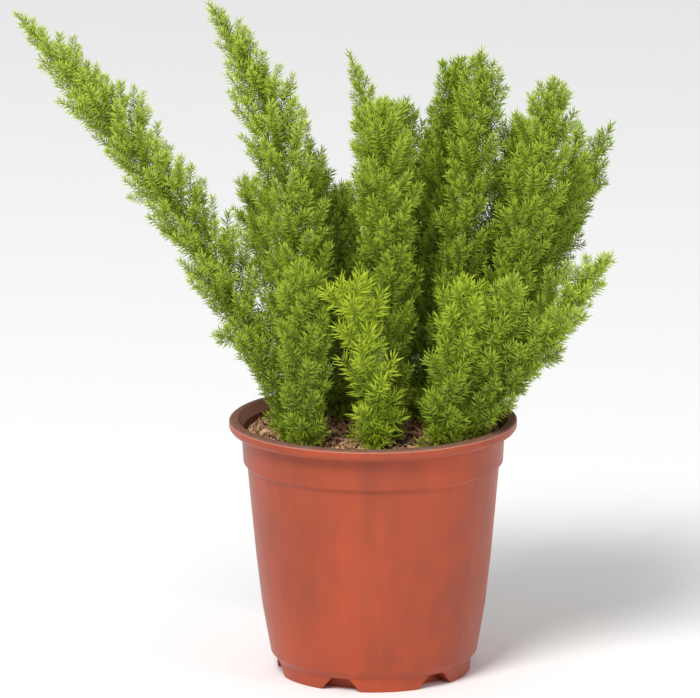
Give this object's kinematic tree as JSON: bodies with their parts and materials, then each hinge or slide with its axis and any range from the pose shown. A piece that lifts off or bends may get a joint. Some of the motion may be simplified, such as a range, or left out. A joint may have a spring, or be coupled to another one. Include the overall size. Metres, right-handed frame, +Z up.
{
  "type": "potted foxtail fern",
  "caption": "Upright and arching needle-clad plumes of a foxtail fern, growing in a tapered plastic nursery pot filled with potting soil.",
  "frame": {"origin": "on the pot's axis at the level of its feet, so the pot stands on Z = 0", "axes": "+Z up along the pot's axis, -Y towards the side the plant is usually seen from, +X to the right from there"},
  "size_m": [0.3545, 0.2248, 0.4101],
  "materials": {
    "pot_plastic": "satin terracotta-coloured plastic",
    "potting_soil": "crumbly peat compost with bark",
    "frond_green": "fresh yellow-green needles",
    "frond_lime": "young lime-green needles",
    "frond_deep": "older deep-green needles"
  },
  "bodies": {
    "root": {"pot": "pot_plastic", "soil": "potting_soil", "plume_left_long": "frond_green", "plume_left_tall": "frond_green", "plume_centre": "frond_green", "plume_right_tall": "frond_green", "plume_right_broad": "frond_green", "plume_back_thin": "frond_green", "plume_right_upright": "frond_green", "plume_right_inner": "frond_green", "plume_right_outer": "frond_green", "plume_right_far": "frond_deep", "plume_right_low": "frond_green", "plume_back_left": "frond_deep", "plume_centre_back": "frond_deep", "plume_inner_left": "frond_deep", "plume_shoulder_left": "frond_deep", "plume_shoulder_right": "frond_green", "plume_right_under": "frond_green", "plume_front_left": "frond_green", "plume_front_lime": "frond_lime", "plume_front_right": "frond_lime", "plume_low_left": "frond_green", "plume_low_right": "frond_green", "plume_rear_left": "frond_green", "plume_rear_mid": "frond_green", "plume_rear": "frond_green", "plume_rear_right": "frond_green"}
  },
  "joints": []
}
